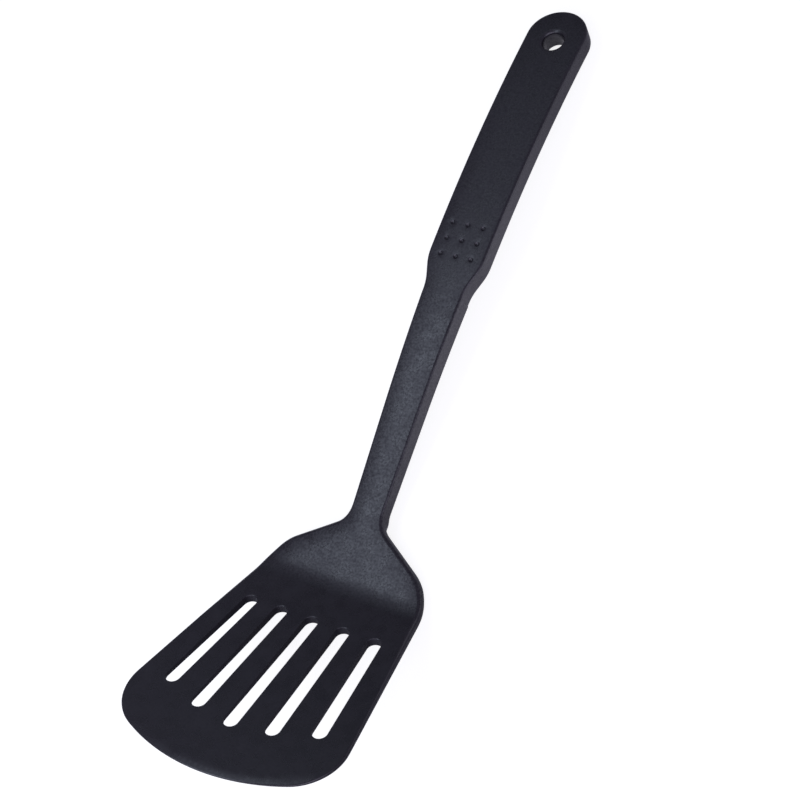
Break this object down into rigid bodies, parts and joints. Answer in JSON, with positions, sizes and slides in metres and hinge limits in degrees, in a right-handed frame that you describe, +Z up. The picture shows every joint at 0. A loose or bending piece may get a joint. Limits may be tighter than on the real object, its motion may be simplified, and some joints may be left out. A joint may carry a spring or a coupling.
{
  "type": "slotted spatula",
  "caption": "Black nylon slotted turner with a broad flared blade, a raised shaft and a flat round-ended grip with nine dimples and a hang hole.",
  "frame": {"origin": "Centre of the footprint on the table, with the turner lying on its heel and on the end of its grip.", "axes": "+Z up from the table, +Y from the blade to the grip, +X to the right as seen from the blade's front edge."},
  "size_m": [0.0892, 0.319, 0.0549],
  "materials": {
    "head_nylon": "matte, finely grained black nylon",
    "grip_nylon": "matte, finely grained black nylon"
  },
  "bodies": {
    "root": {"turner_head": "head_nylon", "grip_body": "grip_nylon", "grip_cover": "grip_nylon"}
  },
  "joints": []
}
